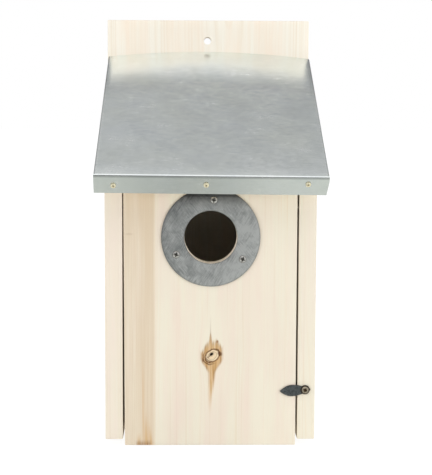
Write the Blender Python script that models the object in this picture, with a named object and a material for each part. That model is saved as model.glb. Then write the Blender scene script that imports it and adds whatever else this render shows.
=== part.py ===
"""Wooden nesting box: hinged front with a metal entrance plate, sheet-metal roof.

Everything is modelled in box coordinates: X to the right, Y from the front face
towards the wall, Z up from the lower edge of the side boards. The empty
"box_frame" carries them, so that the part's origin lies on the rear face of the
back board, where the box meets the wall it hangs on.
"""
from math import atan2, cos, pi, radians, sin, tan

import bmesh
import bpy
from mathutils import Matrix, Vector

# ---------------------------------------------------------------- driving sizes
BOARD = 0.015                # thickness of every board
GAP = 0.0003                 # left between pieces that touch
EASED = 0.0005               # small chamfer along the boards' edges

BODY_WIDTH = 0.180           # over the side boards
BODY_DEPTH = 0.180           # front face to wall
BACK_WIDTH = 0.194
BACK_HEIGHT = 0.3686
ORIGIN_HEIGHT = 0.150        # the part's origin, above the lower edge of the sides

ROOF_WIDTH = 0.194
ROOF_OVERHANG = 0.033        # the bend of the roof sheet, ahead of the front face
ROOF_FRONT_Z = 0.2287        # top of the sheet at the bend
ROOF_REAR_Z = 0.3333         # top of the sheet at the back board
SHEET = 0.0008               # thickness of the roof sheet
SHEET_BEND = 0.0019          # outer radius of its front bend
SHEET_LIP = 0.0172           # how far it hangs over the roof board's front edge
SIDE_BEND = 0.0015           # outer radius of its side bends
SIDE_FLANGE = 0.010          # how far it is folded down along the sides
BEND_RELIEF = 0.0008         # slit between the lip's ends and the side flanges
LIP_SLANT = 0.0017           # the lip's right end is cut back at its lower corner
UPTURN = 0.0048              # how far its rear edge curls up at the middle
UPTURN_LENGTH = 0.080
ROOF_SKEW = radians(0.45)    # the roof sits a little lower on the right

FRONT_TOP = 0.222            # front panel, upper and lower edge
FRONT_BOTTOM = -0.0052
FRONT_LEFT_TOP = -0.0742     # its left edge is cut a little out of square
FRONT_LEFT_BOTTOM = -0.0733
FRONT_RIGHT = 0.0735
FRONT_PIVOT_Z = 0.200        # hinge axis, on the middle of the panel's thickness

FLOOR_Z = 0.006              # underside of the floor, above the sides' lower edge
FLOOR_FRONT_GAP = 0.001
DRAIN_CORNER = 0.009         # corner cuts that let water out

ENTRANCE_Z = 0.1750
ENTRANCE_RADIUS = 0.0225
PLATE_RADIUS = 0.0421
PLATE = 0.0010               # thickness of the entrance plate
PLATE_SCREWS = ((85.4, 0.0318), (206.8, 0.0328), (325.5, 0.0330))   # angle and radius

HANGING_Z = 0.3491
HANGING_X = -0.0008
HANGING_RADIUS = 0.0035

BUTTON_X = 0.0815
BUTTON_Z = 0.0435
BUTTON = 0.0012              # thickness of the turn button
BUTTON_TILT = radians(-3.8)
BUTTON_REACH = 0.0217        # pivot to tip
BUTTON_HALF_WIDTH = 0.0049
BUTTON_WIDEST = 0.0115       # distance of its widest place from the pivot
BUTTON_NECK = 0.0031         # half-width where the leaf meets the eye
BUTTON_EYE = 0.0040          # radius of the eye round the screw
BUTTON_NUB = 0.0044          # small point on the far side of the eye
BUTTON_EASED = 0.0003        # rounding of its front edge
LEAF_POINT = 0.85            # below 1 the leaf's tip is blunter
EYE_OVERLAP = 0.80           # where the leaf ends and the eye starts, in eye radii
EYE_START = 0.62

BACK_SCREW_HEIGHTS = (0.045, 0.265)
BACK_FLOOR_SCREW_X = 0.045
FLOOR_SCREW_DEPTHS = (0.050, 0.130)
ROOF_SCREW_DISTANCES = (0.075, 0.185)   # up the slope from the bend
LIP_SCREWS = ((-0.0808, 0.0102), (-0.0043, 0.0087), (0.0796, 0.0072))   # across, down the lip

# Screws: head radius, head height, shank radius, length under the head's seat.
WOOD_SCREW = {"head": 0.0035, "rise": 0.0022, "shank": 0.00175, "length": 0.029}
PIVOT_SCREW = {"head": 0.0037, "rise": 0.0022, "shank": 0.0020, "length": 0.028}
PLATE_SCREW = {"head": 0.0031, "rise": 0.0013, "shank": 0.0013, "length": 0.012}
LIP_SCREW = {"head": 0.00225, "rise": 0.0012, "shank": 0.0011, "length": 0.013}
BUTTON_SCREW = {"head": 0.0029, "rise": 0.0014, "shank": 0.0014, "length": 0.014}
SCREW_TIP = 1.8              # length of a screw's point, in shank radii
SCREW_SIDES = 16
CROWN = (0, 25, 50, 68)      # a domed head's profile, in degrees from its edge
CROWN_EDGE = 0.25            # height of a domed head's edge, as a share of the head's
FLAT_SHARE = 0.75            # the widest a cross recess may grow, as a share of the head
CROSS_ARM = 0.62             # reach, half-width and depth of the cross, as shares of that
CROSS_HALF = 0.16
CROSS_DEPTH = 0.45

# How finely the curved pieces are divided.
PLATE_SIDES = 96
ENTRANCE_SIDES = 64
HOLE_SIDES = 32
SHEET_COLUMNS = 24
UPTURN_STEPS = 8
LEAF_STEPS = 7
EYE_STEPS = 16
SMOOTH_ANGLE = radians(35)

# ---------------------------------------------------------------- derived sizes
HALF_WIDTH = BODY_WIDTH / 2
INNER_HALF = HALF_WIDTH - BOARD
BACK_FACE = BODY_DEPTH - BOARD               # front face of the back board
SLOPE = atan2(ROOF_REAR_Z - ROOF_FRONT_Z, BACK_FACE + ROOF_OVERHANG)
ROOF_TOP = SHEET + GAP                       # top of the roof board, below the sheet's
ROOF_UNDER = ROOF_TOP + BOARD                # underside of the roof board
FRONT_PIVOT_Y = BOARD / 2


# ---------------------------------------------------------------- scene helpers
def clear_scene():
    for obj in list(bpy.data.objects):
        bpy.data.objects.remove(obj, do_unlink=True)


def make_material(name, colour, roughness, metallic=0.0):
    material = bpy.data.materials.new(name)
    material.use_nodes = True
    shader = material.node_tree.nodes["Principled BSDF"]
    shader.inputs["Base Color"].default_value = (*colour, 1.0)
    shader.inputs["Roughness"].default_value = roughness
    shader.inputs["Metallic"].default_value = metallic
    return material


def make_empty(name, parent, location, tilt=0.0):
    """An empty that carries other pieces; tilt turns it about Y."""
    empty = bpy.data.objects.new(name, None)
    empty.parent = parent
    empty.location = location
    empty.rotation_euler = (0.0, tilt, 0.0)
    bpy.context.scene.collection.objects.link(empty)
    return empty


def add_object(name, mesh, parent, placed, material=None):
    """Link an object; placed is its matrix in the parent's coordinates."""
    obj = bpy.data.objects.new(name, mesh)
    obj.parent = parent
    obj.matrix_basis = placed
    if material and not mesh.materials:
        mesh.materials.append(material)
    bpy.context.scene.collection.objects.link(obj)
    return obj


def to_mesh(bm, name, smooth=False):
    bmesh.ops.recalc_face_normals(bm, faces=bm.faces)
    mesh = bpy.data.meshes.new(name)
    bm.to_mesh(mesh)
    bm.free()
    if smooth:
        mesh.shade_smooth()
        mesh.set_sharp_from_angle(angle=SMOOTH_ANGLE)
    return mesh


def in_box(empty):
    """Matrix from box coordinates to those of the box frame or of a hinge."""
    return Matrix.Translation(-empty.location) if empty.parent else Matrix()


# ---------------------------------------------------------------- solid helpers
def prism(outline, axis, start, end):
    """A flat outline, extruded from start to end along the axis X, Y or Z."""
    corner = {"X": lambda u, v: (start, u, v),
              "Y": lambda u, v: (u, start, v),
              "Z": lambda u, v: (u, v, start)}
    along = {"X": Vector((1, 0, 0)), "Y": Vector((0, 1, 0)), "Z": Vector((0, 0, 1))}
    bm = bmesh.new()
    face = bm.faces.new([bm.verts.new(corner[axis](u, v)) for u, v in outline])
    grown = bmesh.ops.extrude_face_region(bm, geom=[face])["geom"]
    moved = [item for item in grown if isinstance(item, bmesh.types.BMVert)]
    bmesh.ops.translate(bm, vec=along[axis] * (end - start), verts=moved)
    return bm


def ease_edges(bm, width=EASED):
    bmesh.ops.bevel(bm, geom=bm.edges[:], offset=width, segments=1, affect="EDGES")


def rectangle(low_u, high_u, low_v, high_v):
    return [(low_u, low_v), (high_u, low_v), (high_u, high_v), (low_u, high_v)]


def circle(radius, sides, centre=(0.0, 0.0)):
    turns = [2 * pi * step / sides for step in range(sides)]
    return [(centre[0] + radius * cos(turn), centre[1] + radius * sin(turn)) for turn in turns]


def turned(profile, sides):
    """Spin a profile of (radius, height) points round Z."""
    bm = bmesh.new()
    verts = [bm.verts.new((radius, 0.0, height)) for radius, height in profile]
    edges = [bm.edges.new(pair) for pair in zip(verts, verts[1:])]
    bmesh.ops.spin(bm, geom=verts + edges, cent=(0, 0, 0), axis=(0, 0, 1), angle=2 * pi, steps=sides)
    bmesh.ops.remove_doubles(bm, verts=bm.verts, dist=0.00001)
    return bm


def merge_into(target, source, matrix):
    """Copy one bmesh into another, moved by the matrix."""
    copy = bpy.data.meshes.new("copy")
    bmesh.ops.recalc_face_normals(source, faces=source.faces)
    source.to_mesh(copy)
    source.free()
    copy.transform(matrix)
    target.from_mesh(copy)
    bpy.data.meshes.remove(copy)


def cut(obj, cutter_bm):
    """Cut a shape, in the object's own coordinates, out of the object."""
    name = obj.name + "_cutter"
    cutter = add_object(name, to_mesh(cutter_bm, name), obj, Matrix())
    cutter.hide_render = True
    cutter.display_type = "WIRE"
    modifier = obj.modifiers.new("Holes", "BOOLEAN")
    modifier.operation = "DIFFERENCE"
    modifier.solver = "EXACT"
    modifier.object = cutter


# ---------------------------------------------------------------- screws
def screw_shank(kind):
    """Profile from the point up to the head's seat, at height 0."""
    point = SCREW_TIP * kind["shank"]
    return [(0.0, -kind["length"]), (kind["shank"], point - kind["length"])]


def flush_profile(kind):
    """Countersunk screw, its flat head level with height 0."""
    head = [(kind["shank"], -kind["rise"]), (kind["head"], -GAP), (kind["head"], 0.0)]
    return screw_shank(kind) + head


def domed_profile(kind):
    """Screw whose rounded head stands on height 0, flattened on top."""
    points = screw_shank(kind) + [(kind["shank"], 0.0), (kind["head"], 0.0)]
    for angle in CROWN:
        share = sin(radians(angle)) / sin(radians(CROWN[-1]))
        height = kind["rise"] * (CROWN_EDGE + (1 - CROWN_EDGE) * share)
        points.append((kind["head"] * cos(radians(angle)), height))
    return points


def cross_recess(bm, radius):
    """Close the open top of a screw's head with a sunk cross."""
    rim = [edge for edge in bm.edges if edge.is_boundary]
    height = rim[0].verts[0].co.z
    arm, half, depth = CROSS_ARM * radius, CROSS_HALF * radius, CROSS_DEPTH * radius
    quarter = [Vector((arm, -half, height)), Vector((arm, half, height)), Vector((half, half, height))]
    turns = [Matrix.Rotation(pi / 2 * step, 4, "Z") for step in range(4)]
    verts = [bm.verts.new(turn @ corner) for turn in turns for corner in quarter]
    outline = [bm.edges.new((verts[step], verts[(step + 1) % len(verts)])) for step in range(len(verts))]
    bmesh.ops.triangle_fill(bm, edges=rim + outline, use_dissolve=False)
    walls = bmesh.ops.extrude_edge_only(bm, edges=outline)["geom"]
    floor_verts = [item for item in walls if isinstance(item, bmesh.types.BMVert)]
    bmesh.ops.translate(bm, vec=(0, 0, -depth), verts=floor_verts)
    floor_edges = [item for item in walls if isinstance(item, bmesh.types.BMEdge) and item.is_boundary]
    bmesh.ops.triangle_fill(bm, edges=floor_edges, use_dissolve=False)


def screw_mesh(name, kind, flush):
    bm = turned(flush_profile(kind) if flush else domed_profile(kind), SCREW_SIDES)
    rim_radius = max(edge.verts[0].co.xy.length for edge in bm.edges if edge.is_boundary)
    cross_recess(bm, min(rim_radius, FLAT_SHARE * kind["head"]))
    return to_mesh(bm, name, smooth=True)


def hole_for(kind, flush):
    """The space a screw needs in the pieces it passes through."""
    bore = kind["shank"] + GAP
    above = 5 * GAP
    head = kind["head"] + GAP
    point = SCREW_TIP * kind["shank"]
    profile = [(0.0, -kind["length"] - 2 * GAP), (bore, point - kind["length"] - GAP)]
    if flush:
        profile += [(bore, -kind["rise"] - GAP), (head, -2 * GAP), (head, above)]
    else:
        profile += [(bore, above)]
    return turned(profile + [(0.0, above)], SCREW_SIDES)


def drill(obj, screws, extra=()):
    """Cut the holes of some screws, and further cutters, out of one board."""
    holes = bmesh.new()
    to_object = obj.matrix_basis.inverted() @ in_box(obj.parent)
    for screw in screws:
        merge_into(holes, hole_for(screw["kind"], screw["flush"]), to_object @ screw["placed"])
    for cutter in extra:
        merge_into(holes, cutter, Matrix())
    cut(obj, holes)


def facing(point, direction):
    """Matrix of a screw whose head faces a direction."""
    turn = Vector(direction).to_track_quat("Z", "Y").to_matrix().to_4x4()
    return Matrix.Translation(point) @ turn


def place_screws():
    """Every screw of the box: name, kind, head style and place, in box coordinates."""
    groups = ("back", "floor", "roof", "lip", "plate", "pivot", "button")
    screws = {group: [] for group in groups}

    def add(group, name, kind, flush, placed):
        screws[group].append({"name": name, "kind": kind, "flush": flush, "placed": placed})

    edge_x = HALF_WIDTH - BOARD / 2
    floor_mid = FLOOR_Z + BOARD / 2
    spots = [(side * edge_x, height) for height in BACK_SCREW_HEIGHTS for side in (-1, 1)]
    spots += [(side * BACK_FLOOR_SCREW_X, floor_mid) for side in (-1, 1)]
    for number, (x, z) in enumerate(spots, 1):
        placed = facing((x, BODY_DEPTH, z), (0, 1, 0))
        add("back", f"back_screw_{number}", WOOD_SCREW, True, placed)
    spots = [(side, depth) for side in (-1, 1) for depth in FLOOR_SCREW_DEPTHS]
    for number, (side, depth) in enumerate(spots, 1):
        placed = facing((side * HALF_WIDTH, depth, floor_mid), (side, 0, 0))
        add("floor", f"floor_screw_{number}", WOOD_SCREW, True, placed)
    spots = [(side, distance) for side in (-1, 1) for distance in ROOF_SCREW_DISTANCES]
    for number, (side, distance) in enumerate(spots, 1):
        placed = roof_plane() @ facing((side * edge_x, distance, -ROOF_TOP), (0, 0, 1))
        add("roof", f"roof_screw_{number}", WOOD_SCREW, True, placed)
    for number, (x, down) in enumerate(LIP_SCREWS, 1):
        placed = roof_plane() @ facing((x, -GAP, -down), (0, -1, 0))
        add("lip", f"lip_screw_{number}", LIP_SCREW, False, placed)
    for number, (angle, radius) in enumerate(PLATE_SCREWS, 1):
        x = radius * cos(radians(angle))
        z = ENTRANCE_Z + radius * sin(radians(angle))
        placed = facing((x, -PLATE - 2 * GAP, z), (0, -1, 0))
        add("plate", f"entrance_plate_screw_{number}", PLATE_SCREW, False, placed)
    for side, word in ((-1, "left"), (1, "right")):
        placed = facing((side * HALF_WIDTH, FRONT_PIVOT_Y, FRONT_PIVOT_Z), (side, 0, 0))
        add("pivot", f"pivot_screw_{word}", PIVOT_SCREW, True, placed)
    placed = facing((BUTTON_X, -BUTTON - 2 * GAP, BUTTON_Z), (0, -1, 0))
    add("button", "turn_button_screw", BUTTON_SCREW, False, placed)
    return screws


def make_screws(name, group, parent, material):
    """One object for each screw; the screws of a group share their mesh."""
    mesh = screw_mesh(name, group[0]["kind"], group[0]["flush"])
    for screw in group:
        add_object(screw["name"], mesh, parent, in_box(parent) @ screw["placed"], material)


# ---------------------------------------------------------------- boards
def roof_plane():
    """Box coordinates of the roof: origin at the bend, Y up the slope, Z outwards."""
    turn = Matrix.Rotation(ROOF_SKEW, 4, "Y") @ Matrix.Rotation(SLOPE, 4, "X")
    return Matrix.Translation((0, -ROOF_OVERHANG, ROOF_FRONT_Z)) @ turn


def height_under_roof(x, depth, below):
    """Height, at a place behind the front face, of a plane below the roof's top."""
    rise = (depth + ROOF_OVERHANG) * tan(SLOPE)
    return ROOF_FRONT_Z + rise - below / cos(SLOPE) - x * tan(ROOF_SKEW)


def make_back_board(frame, wood, screws):
    outline = rectangle(-BACK_WIDTH / 2, BACK_WIDTH / 2, 0.0, BACK_HEIGHT)
    bm = prism(outline, "Y", BACK_FACE, BODY_DEPTH)
    ease_edges(bm)
    board = add_object("back_board", to_mesh(bm, "back_board"), frame, Matrix(), wood)
    rim = circle(HANGING_RADIUS, HOLE_SIDES, (HANGING_X, HANGING_Z))
    drill(board, screws["back"], [prism(rim, "Y", BACK_FACE - BOARD, BODY_DEPTH + BOARD)])


def make_side_board(name, side, frame, wood, screws):
    rear = BACK_FACE - GAP
    below = ROOF_UNDER + GAP
    lowest_x = HALF_WIDTH if side > 0 else -INNER_HALF
    outline = [(0.0, 0.0), (rear, 0.0), (rear, height_under_roof(lowest_x, rear, below)),
               (0.0, height_under_roof(lowest_x, 0.0, below))]
    bm = prism(outline, "X", side * INNER_HALF, side * HALF_WIDTH)
    ease_edges(bm)
    board = add_object(name, to_mesh(bm, name), frame, Matrix(), wood)
    through = [screw for group in ("back", "floor", "roof", "pivot", "button")
               for screw in screws[group] if side * screw["placed"].translation.x > INNER_HALF]
    drill(board, through)


def make_floor_board(frame, wood, screws):
    half = INNER_HALF - GAP
    front = BOARD + FLOOR_FRONT_GAP
    rear = BACK_FACE - GAP
    cut_x = half - DRAIN_CORNER
    outline = [(-cut_x, front), (cut_x, front),
               (half, front + DRAIN_CORNER), (half, rear - DRAIN_CORNER),
               (cut_x, rear), (-cut_x, rear),
               (-half, rear - DRAIN_CORNER), (-half, front + DRAIN_CORNER)]
    bm = prism(outline, "Z", FLOOR_Z, FLOOR_Z + BOARD)
    ease_edges(bm)
    board = add_object("floor_board", to_mesh(bm, "floor_board"), frame, Matrix(), wood)
    drill(board, screws["floor"] + screws["back"][-2:])


def make_roof_board(frame, wood, screws):
    """Board under the sheet, its rear end bevelled to lie flat against the back board."""
    def slope_length(below):
        return (BACK_FACE - GAP + ROOF_OVERHANG - below * sin(SLOPE)) / cos(SLOPE)

    half = ROOF_WIDTH / 2 - SHEET - GAP
    start = SHEET + GAP
    outline = [(start, -ROOF_UNDER), (slope_length(ROOF_UNDER), -ROOF_UNDER),
               (slope_length(ROOF_TOP), -ROOF_TOP), (start, -ROOF_TOP)]
    bm = prism(outline, "X", -half, half)
    ease_edges(bm, SHEET)
    board = add_object("roof_board", to_mesh(bm, "roof_board"), frame, roof_plane(), wood)
    drill(board, screws["roof"] + screws["lip"])


def entrance_cutter():
    return prism(circle(ENTRANCE_RADIUS, ENTRANCE_SIDES, (0.0, ENTRANCE_Z)), "Y", -BOARD, 2 * BOARD)


def make_front_panel(hinge, wood, screws):
    outline = [(FRONT_LEFT_BOTTOM, FRONT_BOTTOM), (FRONT_RIGHT, FRONT_BOTTOM),
               (FRONT_RIGHT, FRONT_TOP), (FRONT_LEFT_TOP, FRONT_TOP)]
    bm = prism(outline, "Y", 0.0, BOARD)
    ease_edges(bm)
    panel = add_object("front_panel", to_mesh(bm, "front_panel"), hinge, in_box(hinge), wood)
    drill(panel, screws["plate"] + screws["pivot"], [entrance_cutter()])


# ---------------------------------------------------------------- metal pieces
def make_entrance_plate(hinge, metal, screws):
    """Flat ring that stops the entrance from being pecked wider."""
    bm = prism(circle(PLATE_RADIUS, PLATE_SIDES, (0.0, ENTRANCE_Z)), "Y", -GAP - PLATE, -GAP)
    mesh = to_mesh(bm, "entrance_plate", smooth=True)
    plate = add_object("entrance_plate", mesh, hinge, in_box(hinge), metal)
    drill(plate, screws["plate"], [entrance_cutter()])


def sheet_profile(curl, length):
    """Outer face of the roof sheet along the slope, and the index of its flat part's start."""
    bend = [radians(angle) for angle in (0, 22.5, 45, 67.5, 90)]
    points = [(0.0, -SHEET_LIP), (0.0, -SHEET_LIP / 3)]
    points += [(SHEET_BEND * (1 - cos(angle)), SHEET_BEND * (sin(angle) - 1)) for angle in bend]
    flat_row = len(points) - 1
    points.append((SHEET_BEND + BEND_RELIEF, 0.0))
    start = length - UPTURN_LENGTH
    points += [(start * step / 3, 0.0) for step in (1, 2, 3)]
    for step in range(1, UPTURN_STEPS + 1):
        share = step / UPTURN_STEPS
        rise = curl * share ** 2
        points.append((start + UPTURN_LENGTH * share + rise * tan(SLOPE), rise))
    return points, flat_row


def flange_columns(side, edge_column):
    """Points of one side bend and flange, outwards from the flat's outermost column.

    The lower a column lies, the sooner it meets the upright back board.
    """
    start, end = edge_column[0].y, edge_column[-1].y
    rows = [(SIDE_BEND * (1 - sin(angle)), SIDE_BEND * (1 - cos(angle)))
            for angle in (radians(30), radians(60), radians(90))]
    columns = []
    for inset, drop in rows + [(0.0, SIDE_FLANGE)]:
        x = side * (ROOF_WIDTH / 2 - inset)
        shorter = 1 - drop * tan(SLOPE) / (end - start)
        columns.append([(x, start + (point.y - start) * shorter, -drop) for point in edge_column])
    return columns


def lip_end(side, edge_column):
    """Outer end of the lip; the right one slants in towards its lower corner."""
    ends = [(side * ROOF_WIDTH / 2, point.y, point.z) for point in edge_column]
    if side > 0:
        ends[0] = (ends[0][0] - LIP_SLANT, *ends[0][1:])
    return ends


def join_columns(bm, left, right):
    for low, high in zip(range(len(left) - 1), range(1, len(left))):
        bm.faces.new((left[low], right[low], right[high], left[high]))


def make_roof_sheet(frame, metal, screws):
    """Bent sheet with a front lip and side flanges; its rear edge curls up in a low arch."""
    flat_half = ROOF_WIDTH / 2 - SIDE_BEND
    length = (BACK_FACE - GAP + ROOF_OVERHANG) / cos(SLOPE) - SHEET * tan(SLOPE)
    bm = bmesh.new()
    made = []
    for column in range(SHEET_COLUMNS + 1):
        across = 2 * column / SHEET_COLUMNS - 1
        profile, flat_row = sheet_profile(UPTURN * (1 - across ** 2), length)
        made.append([bm.verts.new((flat_half * across, y, z)) for y, z in profile])
    for left, right in zip(made, made[1:]):
        join_columns(bm, left, right)
    for side, edge in ((-1, made[0]), (1, made[-1])):
        lip_part, roof_part = edge[:flat_row + 1], edge[flat_row + 1:]
        outer = [bm.verts.new(point) for point in lip_end(side, [vert.co for vert in lip_part])]
        join_columns(bm, lip_part, outer)
        inner = roof_part
        for points in flange_columns(side, [vert.co for vert in roof_part]):
            outer = [bm.verts.new(point) for point in points]
            join_columns(bm, inner, outer)
            inner = outer
    mesh = to_mesh(bm, "roof_sheet", smooth=True)
    sheet = add_object("roof_sheet", mesh, frame, roof_plane(), metal)
    solid = sheet.modifiers.new("Thickness", "SOLIDIFY")
    solid.thickness = SHEET
    solid.offset = -1.0
    solid.use_even_offset = True
    drill(sheet, screws["lip"])


def leaf_edge(sign):
    """One long edge of the turn button's leaf, from the tip to the eye."""
    run = BUTTON_REACH - EYE_OVERLAP * BUTTON_EYE
    peak = (BUTTON_REACH - BUTTON_WIDEST) / run
    points = []
    for step in range(1, LEAF_STEPS + 1):
        share = step / LEAF_STEPS
        if share < peak:
            half = BUTTON_HALF_WIDTH * sin(pi / 2 * share / peak) ** LEAF_POINT
        else:
            fall = (share - peak) / (1 - peak)
            half = BUTTON_HALF_WIDTH - (BUTTON_HALF_WIDTH - BUTTON_NECK) * fall ** 2
        points.append((run * share - BUTTON_REACH, sign * half))
    return points


def button_outline():
    """Leaf with a pointed tip to the left, and a round eye with a small nub."""
    start = atan2(BUTTON_NECK, -EYE_START * BUTTON_EYE)
    turns = [start * (1 - 2 * step / EYE_STEPS) for step in range(1, EYE_STEPS)]
    eye = [(BUTTON_EYE * cos(turn), BUTTON_EYE * sin(turn)) for turn in turns]
    eye[EYE_STEPS // 2 - 1] = (BUTTON_NUB, 0.0)
    return [(-BUTTON_REACH, 0.0)] + leaf_edge(1) + eye + leaf_edge(-1)[::-1]


def make_turn_button(pivot, metal):
    bm = prism(button_outline(), "Y", -GAP - BUTTON, -GAP)
    front = [edge for edge in bm.edges if all(vert.co.y < -BUTTON for vert in edge.verts)]
    bmesh.ops.bevel(bm, geom=front, offset=BUTTON_EASED, segments=2, affect="EDGES")
    mesh = to_mesh(bm, "turn_button", smooth=True)
    button = add_object("turn_button", mesh, pivot, Matrix(), metal)
    cut(button, prism(circle(BUTTON_SCREW["shank"] + GAP, HOLE_SIDES), "Y", -BOARD, BOARD))


# ---------------------------------------------------------------- whole box
def main():
    clear_scene()
    wood = make_material("pale_pine", (0.80, 0.68, 0.50), 0.72)
    panel_wood = make_material("panel_pine", (0.82, 0.71, 0.54), 0.72)
    zinc = make_material("galvanised_sheet", (0.58, 0.60, 0.59), 0.38, 1.0)
    plate_metal = make_material("brushed_plate", (0.42, 0.43, 0.42), 0.45, 1.0)
    steel = make_material("screw_steel", (0.55, 0.54, 0.52), 0.35, 1.0)
    brass = make_material("yellow_screw", (0.70, 0.58, 0.30), 0.35, 1.0)
    dark_metal = make_material("dark_pewter", (0.09, 0.10, 0.095), 0.50, 0.8)

    frame = make_empty("box_frame", None, (0.0, -BODY_DEPTH, -ORIGIN_HEIGHT))
    hinge = make_empty("front_hinge", frame, (0.0, FRONT_PIVOT_Y, FRONT_PIVOT_Z))
    pivot = make_empty("button_pivot", frame, (BUTTON_X, 0.0, BUTTON_Z), BUTTON_TILT)

    screws = place_screws()
    make_back_board(frame, wood, screws)
    make_side_board("left_side_board", -1, frame, wood, screws)
    make_side_board("right_side_board", 1, frame, wood, screws)
    make_floor_board(frame, wood, screws)
    make_roof_board(frame, wood, screws)
    make_roof_sheet(frame, zinc, screws)
    make_front_panel(hinge, panel_wood, screws)
    make_entrance_plate(hinge, plate_metal, screws)
    make_turn_button(pivot, dark_metal)
    finishes = {"back": steel, "floor": steel, "roof": steel, "lip": brass, "plate": steel,
                "pivot": steel, "button": brass}
    for group, material in finishes.items():
        parent = hinge if group == "plate" else frame
        make_screws(group + "_screw", screws[group], parent, material)


main()
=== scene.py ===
"""Looks of the nesting box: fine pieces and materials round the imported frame, studio and camera.

The CAD nodes give every place and size. "Box coordinates" below have X to the right, Y from
the front face towards the wall and Z up from the side boards' lower edge, as in the part.
"""
import random
from collections import namedtuple
from math import atan2, cos, exp, floor, pi, radians, sin, sqrt

import bmesh
import bpy
from mathutils import Matrix, Vector, noise


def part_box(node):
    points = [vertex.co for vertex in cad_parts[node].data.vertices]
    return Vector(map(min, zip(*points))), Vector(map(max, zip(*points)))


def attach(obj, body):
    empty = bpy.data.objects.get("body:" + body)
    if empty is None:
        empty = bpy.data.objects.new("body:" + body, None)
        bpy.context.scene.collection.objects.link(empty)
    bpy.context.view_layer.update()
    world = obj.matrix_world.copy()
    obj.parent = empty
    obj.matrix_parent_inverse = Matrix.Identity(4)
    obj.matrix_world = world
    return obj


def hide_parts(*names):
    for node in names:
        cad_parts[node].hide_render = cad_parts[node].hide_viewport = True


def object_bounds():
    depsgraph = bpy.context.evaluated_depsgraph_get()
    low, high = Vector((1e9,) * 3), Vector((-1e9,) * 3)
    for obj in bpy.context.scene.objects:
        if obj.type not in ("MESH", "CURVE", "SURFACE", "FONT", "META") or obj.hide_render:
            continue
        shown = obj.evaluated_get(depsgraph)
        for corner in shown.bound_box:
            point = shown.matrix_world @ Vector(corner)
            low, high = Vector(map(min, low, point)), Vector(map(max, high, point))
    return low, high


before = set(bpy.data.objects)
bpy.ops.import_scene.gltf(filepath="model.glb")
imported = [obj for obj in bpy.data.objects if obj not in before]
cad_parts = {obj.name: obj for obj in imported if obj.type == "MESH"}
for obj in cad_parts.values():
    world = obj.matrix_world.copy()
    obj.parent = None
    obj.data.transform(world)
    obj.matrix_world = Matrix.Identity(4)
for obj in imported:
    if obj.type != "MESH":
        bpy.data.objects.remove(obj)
cad_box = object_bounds()

# ---- sizes
GAP = 0.0003  # the CAD's gap between pieces that touch
MM = 1000.0  # materials measure in millimetres

BOARD_ROUND = 0.0007  # rounding of the boards' edges
BOARD_CELL = 0.006  # spacing of the points on a board
PANEL_CELL = 0.003
WEAR = 0.00012  # how unevenly a board is planed
EDGE_WEAR = 0.00025  # and worn along its edges
FLOOR_CORNER = 0.009  # cut off the floor's corners, so that water drains
BORE_EASE = 0.0004  # how far a round hole's edges are eased
BORE_PAST = 0.004  # how far its cutter stands out of the board

KNOT = Vector((0.0016, 0.0, 0.0729))  # the front panel's knot, in box coordinates
KNOT_RADII = (0.0070, 0.0053)
KNOT_TILT = radians(38)
KNOT_CORE = (-0.0006, 0.0014)  # its core, from the knot's centre
CORE_RADII = (0.00150, 0.00100)
RIM_DEPTH = 0.00022  # how deep the knot's rim and core are sunk
CORE_DEPTH = 0.0007
STRIP_EDGE = -0.0476  # the panel's darker left lamella ends here
RIGHT_LAMELLA = 0.0460  # and its right one starts here

BEND = 0.0019  # outer radius of the sheet's front bend
SIDE_BEND = 0.0015
SHEET = 0.0008
RELIEF = 0.0008  # slit between the lip's ends and the side flanges
LIP_SLANT = 0.0017  # the lip's right end slants in at its lower corner
UPTURN_LENGTH = 0.080
LIP_ROWS = 7  # rows of points from the lip's edge to the rear edge
BEND_ROWS = 12
SLOPE_ROWS = 44
CURL_ROWS = 24
SHEET_COLUMNS = 88
DENT_RADIUS = 0.0034  # of the dimple round a lip screw
DENT_DEPTH = 0.00022
SHEET_WAVE = 0.00012  # unevenness of the sheet
DROOP = 0.00030  # it also droops a little towards the front bend
DROOP_LENGTH = 0.016

PLATE_ROUND = 0.00022
BUTTON_TILT = radians(-3.8)
BUTTON_EYE = 0.0040  # radius of the eye round the screw
BUTTON_NUB = 0.0011  # radius of the nub beside the eye
LEAF_NECK = 0.0031  # half the leaf's width where it meets the eye
LEAF_HALF = 0.0049  # and where it is widest,
LEAF_WIDEST = 0.0115  # this far from the screw
LEAF_POINT = 0.85  # power that shapes the leaf's pointed half
LEAF_TIP_SLOPE = 0.004  # how far the face's tip lies behind the outline's
# Shares of the leaf's outline and thickness, from its back to its crown.
LEAF_LEVELS = ((1.0, 0.0), (1.0, 0.55), (0.985, 0.66), (0.95, 0.74), (0.90, 0.79), (0.80, 0.82),
               (0.60, 0.88), (0.35, 0.93), (0.12, 0.95))
# Distance inside the eye's rim and share of the thickness.
EYE_RIM = ((0.0, 0.0), (0.0, 0.62), (0.00012, 0.78), (0.0004, 0.93), (0.0008, 1.0), (0.0011, 0.97),
           (0.0012, 0.85))

ORIGIN = Vector((0.0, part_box("left_side_board")[0].y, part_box("left_side_board")[0].z))
ENTRANCE = sum(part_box("entrance_plate"), Vector()) / 2
ENTRANCE_RADIUS = 0.0225
HANGING = ORIGIN + Vector((-0.0008, 0.0, 0.3491))
HANGING_RADIUS = 0.0035

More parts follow.
